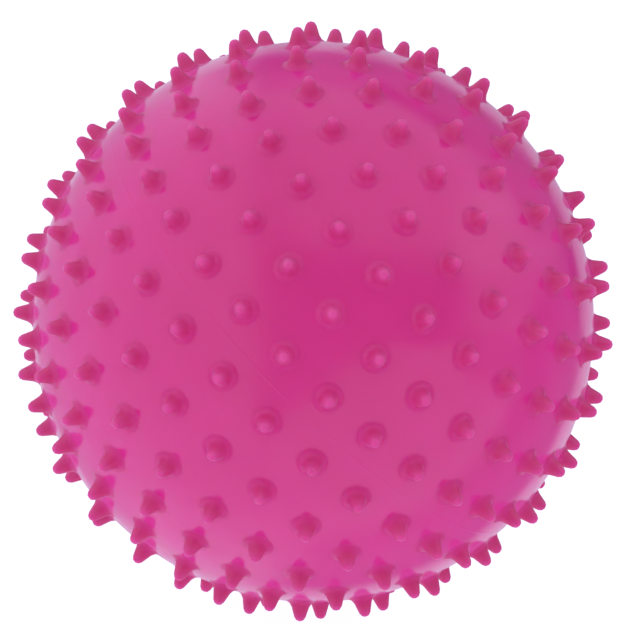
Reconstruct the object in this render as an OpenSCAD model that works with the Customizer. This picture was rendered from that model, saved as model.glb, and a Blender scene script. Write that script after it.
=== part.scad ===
// Sensory ball: a hollow soft ball with moulded spikes and a plug valve.
// It stands on three spike tips, pressed flat at z = 0, with its centre above the origin.

/* [Ball] */
// Diameter of the smooth skin between the spikes
skin_d = 166; // [140:1:240]
// Thickness of the skin
skin_wall = 1.6; // [1.2:0.1:3]
// Height of the mould's parting line above the skin
mould_line_h = 0.15; // [0.1:0.05:0.3]
// Width of the mould's parting line
mould_line_w = 0.8; // [0.6:0.1:1.5]

/* [Spikes] */
// Height of a spike above the skin
spike_h = 5.9; // [4.5:0.1:10]
// Radius of a spike's round tip
tip_r = 1.75; // [1:0.05:2]
// Angle between a spike's flank and its own axis
flank_angle = 17; // [10:1:22]
// Radius of the hollow curve at a spike's foot
foot_r = 2.5; // [1.5:0.25:4]
// How far the ball's weight presses in the three tips that it stands on
tip_press = 0.15; // [0.1:0.05:0.4]

/* [Valve] */
// Diameter of the seat's hub, where it fills the hole in the skin
seat_d = 17; // [16:0.5:19]
// Diameter of the seat's flange inside the ball
seat_flange_d = 27; // [23:0.5:32]
// Thickness of the seat's flange
seat_flange_t = 1.6; // [1:0.1:3]
// Wall of the seat's tube around the plug's stem
seat_tube_wall = 2; // [1.2:0.1:3]
// Diameter of the plug's head
plug_head_d = 11; // [9:0.5:12]
// Depth of the plug's head below the skin, at its centre
plug_head_t = 1.8; // [1.4:0.1:2.4]
// Diameter of the plug's stem
plug_stem_d = 6; // [4.5:0.5:7]
// Length of the plug's stem
plug_stem_l = 13; // [10:1:20]

/* [Hidden] */

ball_fn = 180;
spike_fn = 32;
valve_fn = 64;

// Rings of spikes run from the top of the mould axis to the valve, at equal steps
ring_counts = [1, 6, 12, 18, 22, 26, 28, 30, 29, 28, 25, 23, 18, 12, 6];
// Turn of each ring's first spike about the mould axis, in degrees
ring_turns = [0, 3.5, 9.5, 13, 14, 3, 1.5, 1, 8, 5.5, 1, 5.5, 11.5, 25, 56.5];
ring_step = 180 / len(ring_counts);
// The three spikes that the ball stands on, as ring and place in the ring
feet = [[11, 5], [11, 6], [12, 4]];
// Turn about the vertical that brings the ball's face to the front, in degrees
heading = -8.9;

// Fits
bond_gap = 0.05;
stem_clearance = 0.05;
head_clearance = 0.3;
seating_gap = 0.1;
cut_overrun = 1;

// Small sizes of the valve
groove_r = 0.35;
groove_pitch = 2.4;
groove_count = 3;
stem_lead = 1.2;
stem_reach = 1.5;
notch_r = 1.6;
notch_depth = 1.1;
// How far a foot's curve dips under the skin, so that the two cross
foot_dip = 0.1;

skin_r = skin_d / 2;
inner_r = skin_r - skin_wall;

// A spike's profile, with its height counted from the skin
tip_z = spike_h - tip_r;
flank_r0 = tip_r / cos(flank_angle) + tip_z * tan(flank_angle);
foot_reach = flank_r0 + foot_r / cos(flank_angle) - foot_r * tan(flank_angle);
foot_sink = skin_r - sqrt(pow(skin_r, 2) - pow(foot_reach, 2)) + foot_dip;
foot_z = foot_r - foot_sink;
foot_x = flank_r0 - foot_z * tan(flank_angle) + foot_r / cos(flank_angle);
spike_root = foot_sink + (skin_wall - foot_sink) / 2;

// Where the spikes stand on the ball
function ring_lat(k) = 90 - k * ring_step;
function spike_lon(k, i) = ring_turns[k] + i * 360 / ring_counts[k];
function on_ball(lat, lon) = [cos(lat) * cos(lon), cos(lat) * sin(lon), sin(lat)];
function spike_dir(k, i) = on_ball(ring_lat(k), spike_lon(k, i));

// The plane through the three feet gives the way down
foot_dirs = [for (f = feet) spike_dir(f[0], f[1])];
plane_dir = cross(foot_dirs[1] - foot_dirs[0], foot_dirs[2] - foot_dirs[0]);
down_dir = plane_dir * sign(plane_dir * foot_dirs[0]) / norm(plane_dir);
down_lat = asin(down_dir[2]);
down_lon = atan2(down_dir[1], down_dir[0]);
rest_h = (skin_r + tip_z) * (down_dir * foot_dirs[0]) + tip_r - tip_press;

// Valve sizes along its own axis, counted outwards from the ball's centre
seat_r = seat_d / 2;
hole_r = seat_r + bond_gap;
stem_r = plug_stem_d / 2;
bore_r = stem_r + stem_clearance;
head_r = plug_head_d / 2;
recess_r = head_r + head_clearance;
recess_z = skin_r - plug_head_t;
head_z = recess_z + seating_gap;
stem_z = head_z - plug_stem_l;
flange_r = seat_flange_d / 2;
flange_out_r = inner_r - bond_gap;
flange_in_r = flange_out_r - seat_flange_t;
tube_z = stem_z + stem_reach;
tube_r = bore_r + seat_tube_wall;

// Stands the ball, made about its mould axis, on its three feet
module stand()
  translate([0, 0, rest_h])
    rotate([0, 0, heading])
      rotate([0, down_lat + 90, 0])
        rotate([0, 0, -down_lon])
          children();

// Turns a valve piece, made along +Z, to the end of the mould axis
module at_valve()
  stand()
    rotate([180, 0, 0])
      children();

// Half outline of a spike: round tip, straight flank and hollow foot
module spike_outline()
  union() {
    intersection() {
      translate([0, tip_z])
        circle(r = tip_r, $fn = spike_fn);
      translate([0, tip_z - tip_r])
        square([tip_r, 2 * tip_r]);
    }
    difference() {
      polygon([
        [0, -spike_root],
        [foot_x, -spike_root],
        [foot_x, foot_z],
        [foot_x - foot_r * cos(flank_angle), foot_z - foot_r * sin(flank_angle)],
        [tip_r * cos(flank_angle), tip_z + tip_r * sin(flank_angle)],
        [0, tip_z + tip_r * sin(flank_angle)]
      ]);
      translate([foot_x, foot_z])
        circle(r = foot_r, $fn = spike_fn);
    }
  }

module spike()
  translate([0, 0, skin_r])
    rotate_extrude($fn = spike_fn)
      spike_outline();

module spikes()
  for (k = [0 : len(ring_counts) - 1])
    for (i = [0 : ring_counts[k] - 1])
      rotate([0, 90 - ring_lat(k), spike_lon(k, i)])
        spike();

// Low bead where the two halves of the mould met
module mould_line() {
  bead_r = (pow(mould_line_w / 2, 2) + pow(mould_line_h, 2)) / (2 * mould_line_h);
  rotate_extrude($fn = ball_fn)
    translate([skin_r + mould_line_h - bead_r, 0])
      circle(r = bead_r, $fn = spike_fn);
}

// Hollow skin with its spikes, moulded in one, and pressed flat where it stands on the floor
module ball_skin()
  color([0.81, 0.28, 0.57])
    difference() {
      stand()
        difference() {
          union() {
            sphere(r = skin_r, $fn = ball_fn);
            spikes();
            mould_line();
          }
          sphere(r = inner_r, $fn = ball_fn);
          translate([0, 0, -skin_r - cut_overrun])
            cylinder(r = hole_r, h = skin_r, $fn = valve_fn);
        }
      translate([0, 0, -spike_h])
        cylinder(r = skin_r, h = spike_h, $fn = ball_fn);
    }

// Valve seat: hub in the skin's hole, flange bonded inside, and a tube for the stem
module valve_seat()
  color([0.86, 0.42, 0.66])
    at_valve()
      difference() {
        union() {
          intersection() {
            sphere(r = skin_r, $fn = ball_fn);
            translate([0, 0, flange_in_r - seat_flange_t])
              cylinder(r = seat_r, h = skin_r, $fn = valve_fn);
          }
          intersection() {
            difference() {
              sphere(r = flange_out_r, $fn = ball_fn);
              sphere(r = flange_in_r, $fn = ball_fn);
            }
            cylinder(r = flange_r, h = skin_r, $fn = valve_fn);
          }
          translate([0, 0, tube_z])
            cylinder(r = tube_r, h = flange_in_r - tube_z, $fn = valve_fn);
        }
        translate([0, 0, recess_z])
          cylinder(r = recess_r, h = plug_head_t + cut_overrun, $fn = valve_fn);
        translate([0, 0, tube_z - cut_overrun])
          cylinder(r = bore_r, h = skin_r, $fn = valve_fn);
        translate([recess_r, 0, skin_r - notch_depth])
          cylinder(r = notch_r, h = notch_depth + cut_overrun, $fn = valve_fn);
      }

// Stopper: head flush with the ball's curve, and a grooved stem with a tapered end
module valve_plug()
  color([0.93, 0.90, 0.90])
    at_valve()
      difference() {
        union() {
          intersection() {
            sphere(r = skin_r, $fn = ball_fn);
            translate([0, 0, head_z])
              cylinder(r = head_r, h = plug_head_t, $fn = valve_fn);
          }
          translate([0, 0, stem_z + stem_lead])
            cylinder(r = stem_r, h = plug_stem_l - stem_lead + seating_gap, $fn = valve_fn);
          translate([0, 0, stem_z])
            cylinder(r1 = stem_r - stem_lead / 2, r2 = stem_r, h = stem_lead, $fn = valve_fn);
        }
        for (g = [1 : groove_count])
          translate([0, 0, stem_z + stem_lead + g * groove_pitch])
            rotate_extrude($fn = valve_fn)
              translate([stem_r, 0])
                circle(r = groove_r, $fn = spike_fn);
      }

ball_skin();
valve_seat();
valve_plug();
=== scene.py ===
# Sensory ball: a soft glossy PVC skin with moulded spikes, a valve seat and its plug
import math

import bmesh
import bpy
from mathutils import Matrix, Vector, kdtree


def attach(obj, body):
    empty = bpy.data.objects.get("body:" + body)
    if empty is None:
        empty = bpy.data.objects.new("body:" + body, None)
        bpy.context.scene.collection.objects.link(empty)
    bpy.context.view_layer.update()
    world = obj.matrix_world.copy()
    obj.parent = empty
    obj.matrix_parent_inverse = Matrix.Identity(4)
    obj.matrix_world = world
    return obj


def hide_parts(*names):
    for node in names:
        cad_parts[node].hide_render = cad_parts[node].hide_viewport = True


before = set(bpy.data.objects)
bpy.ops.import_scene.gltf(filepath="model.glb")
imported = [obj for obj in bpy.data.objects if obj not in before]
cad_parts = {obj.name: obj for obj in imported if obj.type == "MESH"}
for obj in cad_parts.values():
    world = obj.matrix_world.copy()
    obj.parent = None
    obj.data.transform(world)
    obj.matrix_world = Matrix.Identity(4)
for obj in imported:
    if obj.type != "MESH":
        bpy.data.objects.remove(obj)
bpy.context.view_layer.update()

MM = 0.001

# Sizes of the ball, as in the part's source
SKIN_R = 83 * MM
SKIN_WALL = 1.6 * MM
INNER_R = SKIN_R - SKIN_WALL
SPIKE_H = 5.9 * MM
TIP_R = 1.75 * MM
FLANK = math.radians(17)
FOOT_R = 2.5 * MM
TIP_Z = SPIKE_H - TIP_R
TIP_PRESS = 0.15 * MM

# The mould line is lower than in the part's source, to show as faintly as in the photograph
MOULD_LINE_W = 0.8 * MM
MOULD_LINE_H = 0.09 * MM

# Rings of spikes, from the top of the mould axis to the valve
RING_COUNTS = [1, 6, 12, 18, 22, 26, 28, 30, 29, 28, 25, 23, 18, 12, 6]
RING_TURNS = [0, 3.5, 9.5, 13, 14, 3, 1.5, 1, 8, 5.5, 1, 5.5, 11.5, 25, 56.5]
RING_STEP = math.pi / len(RING_COUNTS)
FEET = [(11, 5), (11, 6), (12, 4)]
HEADING = math.radians(-8.9)

# Sizes of the valve
BOND_GAP = 0.05 * MM
SEATING_GAP = 0.1 * MM
HOLE_R = 8.55 * MM
SEAT_R = 8.5 * MM
FLANGE_R = 13.5 * MM
FLANGE_T = 1.6 * MM
FLANGE_OUT_R = INNER_R - BOND_GAP
FLANGE_IN_R = FLANGE_OUT_R - FLANGE_T
HEAD_R = 5.5 * MM
HEAD_T = 1.8 * MM
RECESS_R = 5.8 * MM
RECESS_Z = SKIN_R - HEAD_T
HEAD_Z = RECESS_Z + SEATING_GAP
STEM_R = 3 * MM
BORE_R = 3.05 * MM
STEM_L = 13 * MM
STEM_Z = HEAD_Z - STEM_L
STEM_LEAD = 1.2 * MM
STEM_REACH = 1.5 * MM
TUBE_WALL = 2 * MM
TUBE_Z = STEM_Z + STEM_REACH
TUBE_R = BORE_R + TUBE_WALL
GROOVE_R = 0.35 * MM
GROOVE_PITCH = 2.4 * MM
GROOVE_COUNT = 3
NOTCH_R = 1.6 * MM
NOTCH_DEPTH = 1.1 * MM
SEAT_EDGE = 0.22 * MM
PLUG_EDGE = 0.28 * MM

# Mesh counts, and the shares of a curve at which its rings lie
SPIKE_SIDES = 12
FOOT_SHARES = [0.2, 0.56, 1]
TIP_SHARES = [0, 0.5]
MOULD_LINE_SHARES = [-1, -0.5, 0, 0.5, 1]
INNER_LEVEL = 5
SKIN_LEVEL = 6
HOLE_POINTS = 48
FILL_ROOM = 1.7 * MM
VALVE_SIDES = 72
SEAT_ARC_STEPS = 3
HEAD_ARC_STEPS = 5
GROOVE_STEPS = 4
NOTCH_SIDES = 32
EDGE_STEPS = 3
CORNER_TURN = 0.6
MERGE = 0.001 * MM


def on_ball(lat, lon):
    return Vector((math.cos(lat) * math.cos(lon), math.cos(lat) * math.sin(lon), math.sin(lat)))


def spike_dir(ring, place):
    lon = math.radians(RING_TURNS[ring]) + place * 2 * math.pi / RING_COUNTS[ring]
    return on_ball(math.pi / 2 - ring * RING_STEP, lon)


SPIKE_DIRS = [spike_dir(k, i) for k, count in enumerate(RING_COUNTS) for i in range(count)]


def stand():
    """The ball's place on its three feet, from its mould axis, and its centre's height."""
    a, b, c = [spike_dir(*foot) for foot in FEET]
    down = (b - a).cross(c - a).normalized()
    if down.dot(a) < 0:
        down.negate()
    rest_h = (SKIN_R + TIP_Z) * down.dot(a) + TIP_R - TIP_PRESS
    place = (
        Matrix.Translation((0, 0, rest_h))
        @ Matrix.Rotation(HEADING, 4, "Z")
        @ Matrix.Rotation(math.asin(down.z) + math.pi / 2, 4, "Y")
        @ Matrix.Rotation(-math.atan2(down.y, down.x), 4, "Z")
    )
    return place, rest_h


STAND, REST_H = stand()
CENTRE = Vector((0, 0, REST_H))
AT_VALVE = STAND @ Matrix.Rotation(math.pi, 4, "X")


def aim(direction):
    return direction.to_track_quat("Z", "Y").to_matrix().to_4x4()


# Pieces

def make_piece(name, bm, finish, body, node):
    mesh = bpy.data.meshes.new(name)
    bm.to_mesh(mesh)
    bm.free()
    for face in mesh.polygons:
        face.use_smooth = True
    piece = bpy.data.objects.new(name, mesh)
    bpy.context.scene.collection.objects.link(piece)
    mesh.materials.append(finish)
    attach(piece, body)
    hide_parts(node)
    return piece


def spike_profile():
    """The angle from a spike's axis to the edge of its foot, and the rings above its foot.

    A ring is its radius, its height over the skin, and how far the surface faces out and up.
    """
    slope = math.tan(FLANK)
    reach = TIP_R / math.cos(FLANK) + TIP_Z * slope + FOOT_R / math.cos(FLANK)
    a = 1 + slope ** 2
    b = SKIN_R - reach * slope
    c = reach ** 2 + SKIN_R ** 2 - (SKIN_R + FOOT_R) ** 2
    foot_z = (math.sqrt(b * b - a * c) - b) / a
    foot_x = reach - foot_z * slope
    foot_angle = math.atan2(foot_x, SKIN_R + foot_z)
    rings = []
    for share in FOOT_SHARES:
        turn = foot_angle + (math.pi / 2 - FLANK - foot_angle) * share
        out, up = math.sin(turn), math.cos(turn)
        rings.append((foot_x - FOOT_R * out, foot_z - FOOT_R * up, out, up))
    for share in TIP_SHARES:
        turn = FLANK + (math.pi / 2 - FLANK) * share
        out, up = math.cos(turn), math.sin(turn)
        rings.append((TIP_R * out, TIP_Z + TIP_R * up, out, up))
    return foot_angle, rings


def circle_on_ball(bm, direction, radius, angle, count):
    place = aim(direction) @ Matrix.Translation((0, 0, radius * math.cos(angle)))
    width = radius * math.sin(angle)
    return bmesh.ops.create_circle(bm, segments=count, radius=width, matrix=place)["verts"]


def fill_points(bm, level, radius, keep):
    """Evenly spread points of a ball, where keep allows them."""
    made = bmesh.ops.create_icosphere(bm, subdivisions=level, radius=radius)["verts"]
    edges = {e for v in made for e in v.link_edges}
    bmesh.ops.delete(bm, geom=list(edges), context="EDGES_FACES")
    spare = [v for v in made if not keep(v.co)]
    bmesh.ops.delete(bm, geom=spare, context="VERTS")


def wrap(bm, points):
    """Closes the points of a ball to a skin."""
    bmesh.ops.convex_hull(bm, input=points)
    loose = [v for v in points if not v.link_faces]
    bmesh.ops.delete(bm, geom=loose, context="VERTS")


def round_faces(bm, owner):
    """The faces inside each marked circle, joined to one face per circle."""
    inside = [f for f in bm.faces if f.verts[0][owner] and len({v[owner] for v in f.verts}) == 1]
    return bmesh.ops.dissolve_faces(bm, faces=inside, use_verts=False)["region"]


def raise_mould_line(bm, facing, halfway):
    """A low bead round the ball, where the two halves of the mould met.

    Its section is a parabola, which sets how far the surface leans at each share of its width.
    """
    up = Vector((0, 0, 1))
    for share in MOULD_LINE_SHARES:
        lift = MOULD_LINE_H * (1 - share ** 2)
        lean = 0 if abs(share) == 1 else 4 * MOULD_LINE_H * share / MOULD_LINE_W
        outer = [v for v in bm.verts if v.co.length > halfway]
        edges = {e for v in outer for e in v.link_edges}
        faces = {f for v in outer for f in v.link_faces}
        cut = bmesh.ops.bisect_plane(
            bm,
            geom=outer + list(edges) + list(faces),
            dist=MERGE,
            plane_co=up * share * MOULD_LINE_W / 2,
            plane_no=up,
        )["geom_cut"]
        for v in cut:
            if isinstance(v, bmesh.types.BMVert):
                out = v.co.normalized()
                v.co = out * (SKIN_R + lift)
                v[facing] = (out + up * lean).normalized()


def skin_and_spikes():
    """Outer skin with its spikes and mould line, the valve hole, and the inner wall."""
    bm = bmesh.new()
    owner = bm.verts.layers.int.new("owner")
    facing = bm.verts.layers.float_vector.new("facing")
    off_axis = bm.verts.layers.float.new("off_axis")
    foot_angle, rings = spike_profile()
    valve_dir = Vector((0, 0, -1))
    outer_rim_id = len(SPIKE_DIRS) + 1
    inner_rim_id = outer_rim_id + 1
    foot_room = SKIN_R * foot_angle + FILL_ROOM
    hole_room = HOLE_R + FILL_ROOM
    halfway = (SKIN_R + INNER_R) / 2
    near = kdtree.KDTree(len(SPIKE_DIRS))
    for number, direction in enumerate(SPIKE_DIRS):
        near.insert(direction * SKIN_R, number)
    near.balance()

    # Points of the inner wall and of the skin, then the circles that the feet and the hole need
    fill_points(
        bm, INNER_LEVEL, INNER_R,
        lambda co: (co - valve_dir * INNER_R).length > hole_room,
    )
    fill_points(
        bm, SKIN_LEVEL, SKIN_R,
        lambda co: near.find(co)[2] > foot_room and (co - valve_dir * SKIN_R).length > hole_room,
    )
    for number, direction in enumerate(SPIKE_DIRS, 1):
        for v in circle_on_ball(bm, direction, SKIN_R, foot_angle, SPIKE_SIDES):
            v[owner] = number
    for radius, rim_id in ((SKIN_R, outer_rim_id), (INNER_R, inner_rim_id)):
        for v in circle_on_ball(bm, valve_dir, radius, math.asin(HOLE_R / radius), HOLE_POINTS):
            v[owner] = rim_id
    wrap(bm, [v for v in bm.verts if v.co.length > halfway])
    wrap(bm, [v for v in bm.verts if v.co.length < halfway])
    for v in bm.verts:
        v[facing] = v.co.normalized() * (1 if v.co.length > halfway else -1)
        v[off_axis] = near.find(v.co)[2]
    raise_mould_line(bm, facing, halfway)

    # Each foot's circle is one face, and grows into a spike
    caps = round_faces(bm, owner)
    lids = [f for f in caps if f.verts[0][owner] >= outer_rim_id]
    caps = [f for f in caps if f.verts[0][owner] < outer_rim_id]
    for radius, height, out_share, up_share in rings:
        caps = bmesh.ops.extrude_discrete_faces(bm, faces=caps)["faces"]
        for face in caps:
            axis = SPIKE_DIRS[face.verts[0][owner] - 1]
            for v in face.verts:
                out = (v.co - axis * v.co.dot(axis)).normalized()
                v.co = axis * (SKIN_R + height) + out * radius
                v[facing] = out * out_share + axis * up_share
                v[off_axis] = radius
    for v in bmesh.ops.poke(bm, faces=caps)["verts"]:
        axis = v.co.normalized()
        v.co = axis * (SKIN_R + SPIKE_H)
        v[facing] = axis

    # The valve's hole runs through the wall
    rims = [e for lid in lids for e in lid.edges]
    bmesh.ops.delete(bm, geom=lids, context="FACES_ONLY")
    bmesh.ops.bridge_loops(bm, edges=rims)
    bm.transform(STAND)

    # The weight of the ball presses its three feet flat
    pressed = bmesh.ops.bisect_plane(
        bm,
        geom=bm.verts[:] + bm.edges[:] + bm.faces[:],
        dist=MERGE,
        plane_co=(0, 0, 0),
        plane_no=(0, 0, -1),
        clear_outer=True,
    )["geom_cut"]
    bmesh.ops.edgeloop_fill(bm, edges=[e for e in pressed if isinstance(e, bmesh.types.BMEdge)])
    bmesh.ops.recalc_face_normals(bm, faces=bm.faces[:])
    return bm


def turned(points, sides):
    """A valve piece turned on its own axis from half its outline, in radius and height."""
    bm = bmesh.new()
    verts = [bm.verts.new((radius, 0, height)) for radius, height in points]
    edges = [bm.edges.new(pair) for pair in zip(verts, verts[1:])]
    if points[0][0] > 0:
        edges.append(bm.edges.new((verts[-1], verts[0])))
    bmesh.ops.spin(
        bm,
        geom=verts + edges,
        cent=(0, 0, 0),
        axis=(0, 0, 1),
        angle=2 * math.pi,
        steps=sides,
        use_merge=True,
    )
    bmesh.ops.remove_doubles(bm, verts=bm.verts[:], dist=MERGE)
    bmesh.ops.recalc_face_normals(bm, faces=bm.faces[:])
    return bm


def round_edges(bm, width, keep):
    """Rounds the outer corners that keep allows."""
    corners = [
        e for e in bm.edges
        if e.is_convex and e.calc_face_angle(0) > CORNER_TURN and keep(e)
    ]
    bmesh.ops.bevel(
        bm,
        geom=corners,
        offset=width,
        segments=EDGE_STEPS,
        profile=0.5,
        affect="EDGES",
        clamp_overlap=True,
        material=-1,
    )


def arc(radius, start, end, steps):
    """Points of a ball's curve, from one distance off the axis to another."""
    spots = [start + (end - start) * i / steps for i in range(steps + 1)]
    return [(spot, math.sqrt(radius ** 2 - spot ** 2)) for spot in spots]


def seat():
    """Hub in the skin's hole, flange inside the ball, and a tube for the plug's stem."""
    hub_z = FLANGE_IN_R - FLANGE_T
    outline = [(BORE_R, TUBE_Z), (TUBE_R, TUBE_Z), (TUBE_R, hub_z), (SEAT_R, hub_z)]
    outline += arc(FLANGE_IN_R, SEAT_R, FLANGE_R, SEAT_ARC_STEPS)
    outline += arc(FLANGE_OUT_R, FLANGE_R, SEAT_R, SEAT_ARC_STEPS)
    outline += arc(SKIN_R, SEAT_R, RECESS_R, SEAT_ARC_STEPS)
    outline += [(RECESS_R, RECESS_Z), (BORE_R, RECESS_Z)]
    bm = turned(outline, VALVE_SIDES)
    round_edges(bm, SEAT_EDGE, lambda e: True)
    bm.transform(AT_VALVE)
    return bm


def cut_notch(piece):
    """A notch for a fingernail in the seat's rim, beside the plug's head."""
    bm = bmesh.new()
    depth = NOTCH_DEPTH * 2
    bmesh.ops.create_cone(
        bm,
        cap_ends=True,
        segments=NOTCH_SIDES,
        radius1=NOTCH_R,
        radius2=NOTCH_R,
        depth=depth,
        matrix=AT_VALVE @ Matrix.Translation((RECESS_R, 0, SKIN_R - NOTCH_DEPTH + depth / 2)),
    )
    mesh = bpy.data.meshes.new("notch_cutter")
    bm.to_mesh(mesh)
    bm.free()
    cutter = bpy.data.objects.new("notch_cutter", mesh)
    bpy.context.scene.collection.objects.link(cutter)
    cut = piece.modifiers.new("notch", "BOOLEAN")
    cut.operation = "DIFFERENCE"
    cut.solver = "EXACT"
    cut.object = cutter
    whole = bpy.context.evaluated_depsgraph_get()
    notched = bpy.data.meshes.new_from_object(piece.evaluated_get(whole))
    piece.modifiers.clear()
    piece.data = notched
    bpy.data.objects.remove(cutter)


def plug():
    """Stopper: head flush with the ball's curve, and a grooved stem with a tapered end."""
    outline = arc(SKIN_R, 0, HEAD_R, HEAD_ARC_STEPS) + [(HEAD_R, HEAD_Z), (STEM_R, HEAD_Z)]
    for groove in range(GROOVE_COUNT, 0, -1):
        middle = STEM_Z + STEM_LEAD + groove * GROOVE_PITCH
        for step in range(GROOVE_STEPS + 1):
            turn = math.radians(180 / GROOVE_STEPS * step)
            out, up = math.sin(turn), math.cos(turn)
            outline.append((STEM_R - GROOVE_R * out, middle + GROOVE_R * up))
    outline += [(STEM_R, STEM_Z + STEM_LEAD), (STEM_R - STEM_LEAD / 2, STEM_Z), (0, STEM_Z)]
    bm = turned(outline, VALVE_SIDES)
    grooved_z = STEM_Z + STEM_LEAD
    round_edges(
        bm,
        PLUG_EDGE,
        lambda e: not grooved_z < e.verts[0].co.z < HEAD_Z - GROOVE_R,
    )
    bm.transform(AT_VALVE)
    return bm


def set_facing(piece):
    """The surface faces as the true round forms do, not as the flat facets."""
    mesh = piece.data
    turn = STAND.to_3x3()
    facing = [turn @ Vector(d.vector) for d in mesh.attributes["facing"].data]
    for name in ("facing", "owner"):
        mesh.attributes.remove(mesh.attributes[name])
    mesh.normals_split_custom_set_from_vertices(facing)


# Finishes

# What is the same all over soft PVC
PVC_LOOK = {
    "IOR": 1.5,
    "Sheen Weight": 0.15,
    "Sheen Roughness": 0.32,
    "Sheen Tint": (1, 0.75, 0.9, 1),
    "Subsurface Weight": 1,
    "Subsurface Radius": (1, 0.3, 0.5),
    "Subsurface Scale": 1 * MM,
}

# Colours: the skin's pink, a darker flank pink that is painted shade, a lighter tip pink that is
# a painted highlight, and how far up the spikes the painted flank shade lies
SKIN_PINK = (0.62, 0.022, 0.212)
FLANK_SHADE_PINK = (0.595, 0.034, 0.182)
TIP_HIGHLIGHT_PINK = (0.65, 0.062, 0.275)
SEAT_PINK = (0.66, 0.11, 0.36)
PLUG_WHITE = (0.82, 0.78, 0.78)
FLANK_SHADE_SHARE = 0.45

# Noise, as its scale and its detail
CLOUDS = (38, 3)
CLOUD_STRENGTH = 0.1
WEAR = (160, 4)
WEAR_RANGE = (0.3, 0.7)
WORN_SMOOTHER, WORN_ROUGHER = 0.04, 0.06
WORN_COAT = 0.88
# Swells of the surface, as the scale of their noise and their height
SWELLS = ((40, 0.5 * MM), (420, 0.012 * MM))
SWELL_DETAIL = 2

# Distances off a spike's axis between which the gloss takes over from the matt shine
GLOSS_RANGE = (4.2 * MM, 5.1 * MM)
MATT_SHINE = 0.4


def pvc_finish(name, colours, rough, skin_rough=None):
    """Soft PVC: colour by height with painted shade on the spike flanks and a painted highlight
    at the tips, faint clouding, uneven wear and a slight orange peel.
    """
    finish = bpy.data.materials.new(name)
    finish.use_nodes = True
    tree = finish.node_tree
    nodes, links = tree.nodes, tree.links
    shade = nodes["Principled BSDF"]
    for socket, value in PVC_LOOK.items():
        shade.inputs[socket].default_value = value
    where = nodes.new("ShaderNodeTexCoord")
    place = nodes.new("ShaderNodeMapping")
    place.inputs["Location"].default_value = -CENTRE
    links.new(where.outputs["Object"], place.inputs["Vector"])

    def noise(scale, detail):
        texture = nodes.new("ShaderNodeTexNoise")
        texture.inputs["Scale"].default_value = scale
        texture.inputs["Detail"].default_value = detail
        links.new(place.outputs["Vector"], texture.inputs["Vector"])
        return texture.outputs["Fac"]

    def ramp(value, span, start_value, end_value):
        step = nodes.new("ShaderNodeMapRange")
        step.interpolation_type = "SMOOTHSTEP"
        step.inputs["From Min"].default_value = span[0]
        step.inputs["From Max"].default_value = span[1]
        step.inputs["To Min"].default_value = start_value
        step.inputs["To Max"].default_value = end_value
        links.new(value, step.inputs["Value"])
        return step.outputs["Result"]

    # Colour by height over the skin: painted shade on the spike flanks and a painted highlight at
    # the tips, with faint clouds
    height = nodes.new("ShaderNodeVectorMath")
    height.operation = "LENGTH"
    links.new(place.outputs["Vector"], height.inputs[0])
    rise = nodes.new("ShaderNodeMapRange")
    rise.inputs["From Min"].default_value = SKIN_R
    rise.inputs["From Max"].default_value = SKIN_R + SPIKE_H
    links.new(height.outputs["Value"], rise.inputs["Value"])
    depth = nodes.new("ShaderNodeValToRGB")
    stops = depth.color_ramp.elements
    skin_colour, flank_shade_colour, tip_highlight_colour = colours
    # Skin pink at the foot, painted flank shade partway up, and a painted highlight at the tip
    stops[0].color = (*skin_colour, 1)
    stops[1].color = (*tip_highlight_colour, 1)
    stops.new(FLANK_SHADE_SHARE).color = (*flank_shade_colour, 1)
    links.new(rise.outputs["Result"], depth.inputs["Fac"])
    clouded = nodes.new("ShaderNodeMix")
    clouded.data_type = "RGBA"
    clouded.blend_type = "OVERLAY"
    clouded.inputs["Factor"].default_value = CLOUD_STRENGTH
    links.new(depth.outputs["Color"], clouded.inputs["A"])
    links.new(noise(*CLOUDS), clouded.inputs["B"])
    links.new(clouded.outputs["Result"], shade.inputs["Base Color"])

    wear = noise(*WEAR)
    worn = ramp(wear, WEAR_RANGE, rough - WORN_SMOOTHER, rough + WORN_ROUGHER)
    links.new(worn, shade.inputs["Roughness"])
    if skin_rough is not None:
        # Between the spikes a gloss coat takes over from the matt shine
        shade.inputs["Coat Roughness"].default_value = skin_rough
        near_spike = nodes.new("ShaderNodeAttribute")
        near_spike.attribute_name = "off_axis"
        coat = nodes.new("ShaderNodeMath")
        coat.operation = "MULTIPLY"
        links.new(ramp(near_spike.outputs["Fac"], GLOSS_RANGE, 0, 1), coat.inputs[0])
        links.new(ramp(wear, WEAR_RANGE, 1, WORN_COAT), coat.inputs[1])
        links.new(coat.outputs["Value"], shade.inputs["Coat Weight"])
        matt = ramp(near_spike.outputs["Fac"], GLOSS_RANGE, MATT_SHINE, 0)
        links.new(matt, shade.inputs["Specular IOR Level"])

    bump = None
    for scale, swell_height in SWELLS:
        swell = nodes.new("ShaderNodeBump")
        swell.inputs["Strength"].default_value = 1
        swell.inputs["Distance"].default_value = swell_height
        links.new(noise(scale, SWELL_DETAIL), swell.inputs["Height"])
        if bump:
            links.new(bump.outputs["Normal"], swell.inputs["Normal"])
        bump = swell
    for socket in ("Normal", "Coat Normal"):
        links.new(bump.outputs["Normal"], shade.inputs[socket])
    return finish


# The ball's pinks: its own skin pink, painted shade for the flanks and a painted highlight for
# the tips
BALL_PINKS_AND_PAINTED_LIGHT = (SKIN_PINK, FLANK_SHADE_PINK, TIP_HIGHLIGHT_PINK)
PINK_PVC = pvc_finish("pink_pvc", BALL_PINKS_AND_PAINTED_LIGHT, rough=0.38, skin_rough=0.15)
SEAT_PVC = pvc_finish("seat_pvc", (SEAT_PINK,) * 3, rough=0.34)
PLUG_PVC = pvc_finish("plug_pvc", (PLUG_WHITE,) * 3, rough=0.36)

skin = make_piece("skin_and_spikes", skin_and_spikes(), PINK_PVC, "ball", "ball_skin")
set_facing(skin)
valve_seat = make_piece("seat_with_flange", seat(), SEAT_PVC, "ball", "valve_seat")
cut_notch(valve_seat)
make_piece("plug_with_stem", plug(), PLUG_PVC, "plug", "valve_plug")


# Stage, light and camera

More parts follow.
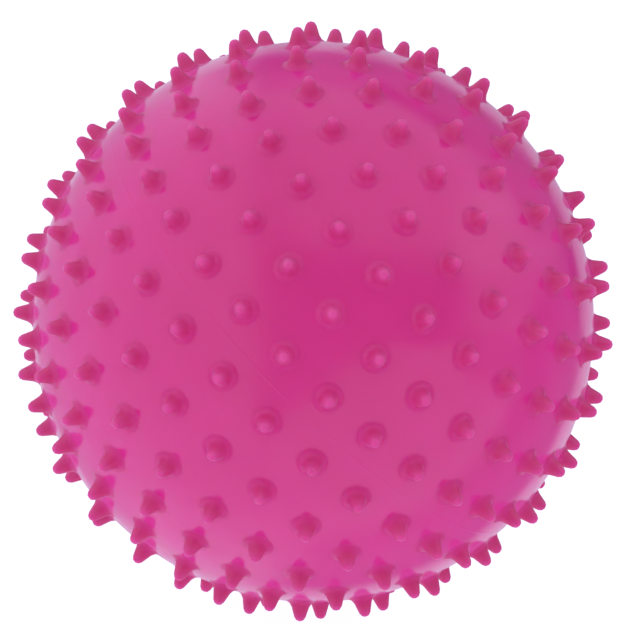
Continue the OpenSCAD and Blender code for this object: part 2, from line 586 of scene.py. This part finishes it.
# The photograph's view: from the front, a little above, with a slight roll
VIEW_RISE, VIEW_ROLL = math.radians(11.5), math.radians(-2.1)
VIEW_FAR = 19.86 * SKIN_R
VIEW_BACK = Vector((0, -math.cos(VIEW_RISE), math.sin(VIEW_RISE)))
VIEW_OVER = VIEW_BACK.cross(Vector((1, 0, 0)))
VIEW_RIGHT = Vector((1, 0, 0)) * math.cos(VIEW_ROLL) - VIEW_OVER * math.sin(VIEW_ROLL)
VIEW_TOP = Vector((1, 0, 0)) * math.sin(VIEW_ROLL) + VIEW_OVER * math.cos(VIEW_ROLL)

# The photograph's width, its focal length and the ball's shift off its middle, in pixels
PHOTO_W = 640
VIEW_FOCAL = 5565
SHIFT_RIGHT, SHIFT_UP = 6.55, 1.6
SENSOR_W = 36
VIEW_NEAR_END, VIEW_FAR_END = 0.1, 100

# The floor shows as pure white, and its glow lights the low side a little blue
FLOOR_HALF = 30
FLOOR_GREY = (0.1, 0.1, 0.1, 1)
FLOOR_GLOW = (1, 1, 1.24, 1)
FLOOR_GLOW_STRENGTH = 0.98

FILL_SIZE = 1.2
FILL_ENERGY = 5
FILL_FAR = 1.6
FILL_WAY = Vector((0.1, -1, 0.45)).normalized()

# The tent's cloth, drawn on the ball's face in ball radii from its middle
# An edge is a spot across and up, the way in degrees that its one side lies, and its softness
OPENING = [(-0.19, 0, 0, 0.07), (0.53, 0, 180, 0.06), (-0.18, 0.3, -99, 0.09)]
OPENING_FOOT = [(0, -0.08, 90, 0.012), (0.26, -0.08, 126, 0.07)]
ARM = [(0.52, 0, 0, 0.02), (0, -0.04, -90, 0.03), (0, -0.24, 90, 0.08)]
FOLD = [(-0.2, 0, 0, 0.03), (-0.08, 0, 180, 0.05), (0, 0.28, 90, 0.03)]
SHADE_SIDE = [(-0.05, 0, 0, 0.25), (0, -0.05, 90, 0.25)]
LAMP = [(0.5, 0, 0, 0.04), (0.7, 0, 180, 0.06), (0, 0.16, 90, 0.06), (0, 0.46, -90, 0.08)]
BAR_SIDES = [(0.4, 0.698, 59.6, 0.012), (0.423, 0.737, 239.6, 0.012)]
BAR_ENDS = [(0.2, 0.8, -30.4, 0.03), (0.5, 0.64, 149.6, 0.03)]
RIGHT_SIDE = [(0.6, 0.1, 10, 0.14)]
LOW_SIDE = [(0, -0.2, -90, 0.25), (0.45, 0, 180, 0.2)]
# A band beside the rim is its inner and outer edge, its way, where it starts, and its softness
LOW_GAP = (0.755, 0.95, -42, 0.5, 0.05)
TOP_GAP = (0.82, 0.955, 62, 0.62, 0.06)
LEFT_RIM = (0.8, 0.985, 175, 0.6, 0.08)
RIM_START_SOFT = 0.1
# Where cloth ends before the rim, as how far the spot faces the camera, and the softness
ARM_END = (0.66, 0.06)
RIGHT_SIDE_END = (0.53, 0.12)
LOW_SIDE_END = (0.45, 0.15)
# The cloth behind the ball, by how far the spot faces away from the camera, and the softness
BEHIND = (-0.42, 0.2)

TENT_LIGHT = 1.1
TENT_COLOUR = (0.95, 1, 1.15, 1)


def floor():
    bm = bmesh.new()
    bmesh.ops.create_grid(bm, x_segments=1, y_segments=1, size=FLOOR_HALF)
    mesh = bpy.data.meshes.new("floor")
    bm.to_mesh(mesh)
    bm.free()
    sheet = bpy.data.objects.new("floor", mesh)
    bpy.context.scene.collection.objects.link(sheet)
    white = bpy.data.materials.new("floor_white")
    white.use_nodes = True
    shade = white.node_tree.nodes["Principled BSDF"]
    shade.inputs["Base Color"].default_value = FLOOR_GREY
    shade.inputs["Roughness"].default_value = 1
    shade.inputs["Specular IOR Level"].default_value = 0
    shade.inputs["Emission Color"].default_value = FLOOR_GLOW
    shade.inputs["Emission Strength"].default_value = FLOOR_GLOW_STRENGTH
    mesh.materials.append(white)
    sheet.visible_glossy = False


def tent():
    """White cloth all round, laid out by where the ball mirrors it to the camera.

    The halfway vector between a way out and the way to the camera is the spot on the ball that
    mirrors one into the other, so every edge is a line across the ball's face.
    """
    world = bpy.data.worlds.new("white_tent")
    bpy.context.scene.world = world
    world.use_nodes = True
    nodes, links = world.node_tree.nodes, world.node_tree.links
    way = nodes.new("ShaderNodeTexCoord")
    both = nodes.new("ShaderNodeVectorMath")
    both.operation = "ADD"
    both.inputs[1].default_value = VIEW_BACK
    links.new(way.outputs["Generated"], both.inputs[0])
    spot = nodes.new("ShaderNodeVectorMath")
    spot.operation = "NORMALIZE"
    links.new(both.outputs["Vector"], spot.inputs[0])

    def past(direction, edge, soft):
        """One where the spot lies past the edge towards a direction, with a soft step."""
        along = nodes.new("ShaderNodeVectorMath")
        along.operation = "DOT_PRODUCT"
        along.inputs[1].default_value = direction
        links.new(spot.outputs["Vector"], along.inputs[0])
        step = nodes.new("ShaderNodeMapRange")
        step.interpolation_type = "SMOOTHSTEP"
        step.inputs["From Min"].default_value = edge - soft
        step.inputs["From Max"].default_value = edge + soft
        links.new(along.outputs["Value"], step.inputs["Value"])
        return step.outputs["Result"]

    def side(across, up, facing, soft):
        """One on the side that a line through a spot on the ball's face looks to."""
        turn = math.radians(facing)
        direction = VIEW_RIGHT * math.cos(turn) + VIEW_TOP * math.sin(turn)
        return past(direction, across * math.cos(turn) + up * math.sin(turn), soft)

    def join(operation, *values):
        result = values[0]
        for value in values[1:]:
            step = nodes.new("ShaderNodeMath")
            step.operation = operation
            for socket, given in zip(step.inputs, (result, value)):
                if isinstance(given, (int, float)):
                    socket.default_value = given
                else:
                    links.new(given, socket)
            result = step.outputs["Value"]
        return result

    def sides(edges):
        return [side(*edge) for edge in edges]

    def patch(edges):
        """One inside all the edges."""
        return join("MULTIPLY", *sides(edges))

    def short_of_rim(part, end):
        return join("MULTIPLY", part, past(VIEW_BACK, *end))

    def rim_band(inner, outer, facing, reach, soft):
        """One in a band beside the ball's rim, on one side of the ball."""
        turn = math.radians(facing)
        return join(
            "MULTIPLY",
            past(-VIEW_BACK, -math.sqrt(1 - inner ** 2), soft),
            past(VIEW_BACK, math.sqrt(1 - outer ** 2), soft),
            side(reach * math.cos(turn), reach * math.sin(turn), facing, RIM_START_SOFT),
        )

    # Each part of the cloth, and the light that it adds
    parts = (
        (join("MULTIPLY", *sides(OPENING), join("MAXIMUM", *sides(OPENING_FOOT))), -0.6),
        (short_of_rim(patch(ARM), ARM_END), -0.35),
        (patch(FOLD), -0.22),
        (patch(SHADE_SIDE), -0.16),
        (patch(LAMP), 0.4),
        (rim_band(*LOW_GAP), -0.6),
        (rim_band(*TOP_GAP), -0.5),
        (patch(BAR_SIDES + BAR_ENDS), -0.35),
        (rim_band(*LEFT_RIM), -0.2),
        (short_of_rim(patch(RIGHT_SIDE), RIGHT_SIDE_END), -0.2),
        (short_of_rim(patch(LOW_SIDE), LOW_SIDE_END), 0.12),
        (past(-VIEW_BACK, *BEHIND), -0.4),
    )
    level = TENT_LIGHT
    for part, amount in parts:
        level = join("ADD", level, join("MULTIPLY", part, amount))
    sky = nodes["Background"]
    sky.inputs["Color"].default_value = TENT_COLOUR
    links.new(level, sky.inputs["Strength"])


def fill_light():
    """Broad soft light from the camera's side, which shapes no reflection."""
    light = bpy.data.lights.new("front_fill", "AREA")
    light.shape = "DISK"
    light.size = FILL_SIZE
    light.energy = FILL_ENERGY
    lamp = bpy.data.objects.new("front_fill", light)
    lamp.matrix_world = Matrix.Translation(CENTRE + FILL_WAY * FILL_FAR) @ aim(FILL_WAY)
    lamp.visible_glossy = False
    lamp.visible_camera = False
    bpy.context.scene.collection.objects.link(lamp)


def camera():
    """The photograph's view, with the ball's centre a little off the middle."""
    px = VIEW_FAR / VIEW_FOCAL
    eye = CENTRE + VIEW_BACK * VIEW_FAR + VIEW_RIGHT * SHIFT_RIGHT * px + VIEW_TOP * SHIFT_UP * px
    lens = bpy.data.cameras.new("photo_view")
    lens.sensor_width = SENSOR_W
    lens.lens = VIEW_FOCAL * SENSOR_W / PHOTO_W
    lens.clip_start, lens.clip_end = VIEW_NEAR_END, VIEW_FAR_END
    view = bpy.data.objects.new("photo_view", lens)
    turn = Matrix((VIEW_RIGHT, VIEW_TOP, VIEW_BACK)).transposed().to_4x4()
    view.matrix_world = Matrix.Translation(eye) @ turn
    bpy.context.scene.collection.objects.link(view)
    bpy.context.scene.camera = view


floor()
tent()
fill_light()
camera()
bpy.context.scene.view_settings.view_transform = "Standard"
